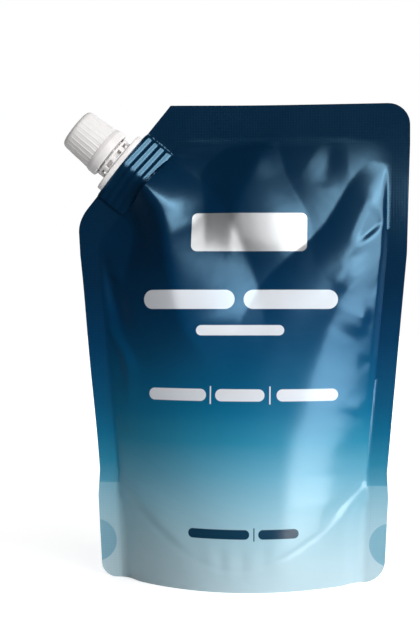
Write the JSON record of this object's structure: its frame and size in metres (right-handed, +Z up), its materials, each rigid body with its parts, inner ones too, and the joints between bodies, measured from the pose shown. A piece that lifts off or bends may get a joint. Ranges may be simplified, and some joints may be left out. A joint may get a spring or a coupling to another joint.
{
  "type": "hand soap refill pack",
  "caption": "Stand-up film refill pack for liquid hand soap, with a folded base, sealed edges and a slanted corner spout closed by a ribbed screw cap.",
  "frame": {"origin": "middle of the base, on the floor plane, where the folded base rests", "axes": "+Z up, front panel towards -Y, spout at the upper left towards -X"},
  "size_m": [0.1588, 0.0604, 0.2185],
  "materials": {
    "film": "satin laminated film, dark blue fading to pale blue at the base",
    "white_plastic": "satin moulded white plastic",
    "liner_foam": "matt off-white foam disc"
  },
  "bodies": {
    "pack": {"pouch": "film", "spout": "white_plastic", "tear_band": "white_plastic"},
    "liner": {"cap_liner": "liner_foam"},
    "cap": {"cap": "white_plastic"}
  },
  "joints": [
    {"name": "cap_rise", "type": "slide", "parent": "pack", "child": "liner", "axis": [-0.7653, -0.1305, 0.6303], "range_m": [0, 0.01805]},
    {"name": "cap_turn", "type": "hinge", "parent": "liner", "child": "cap", "pos_m": [-0.05503, -0.00395, 0.19115], "axis": [-0.7653, -0.1305, 0.6303], "range_deg": [0, 1080]}
  ],
  "couplings": [
    {"joint": "cap_rise", "follows": "cap_turn", "m_per_rad": 0.00095493}
  ]
}
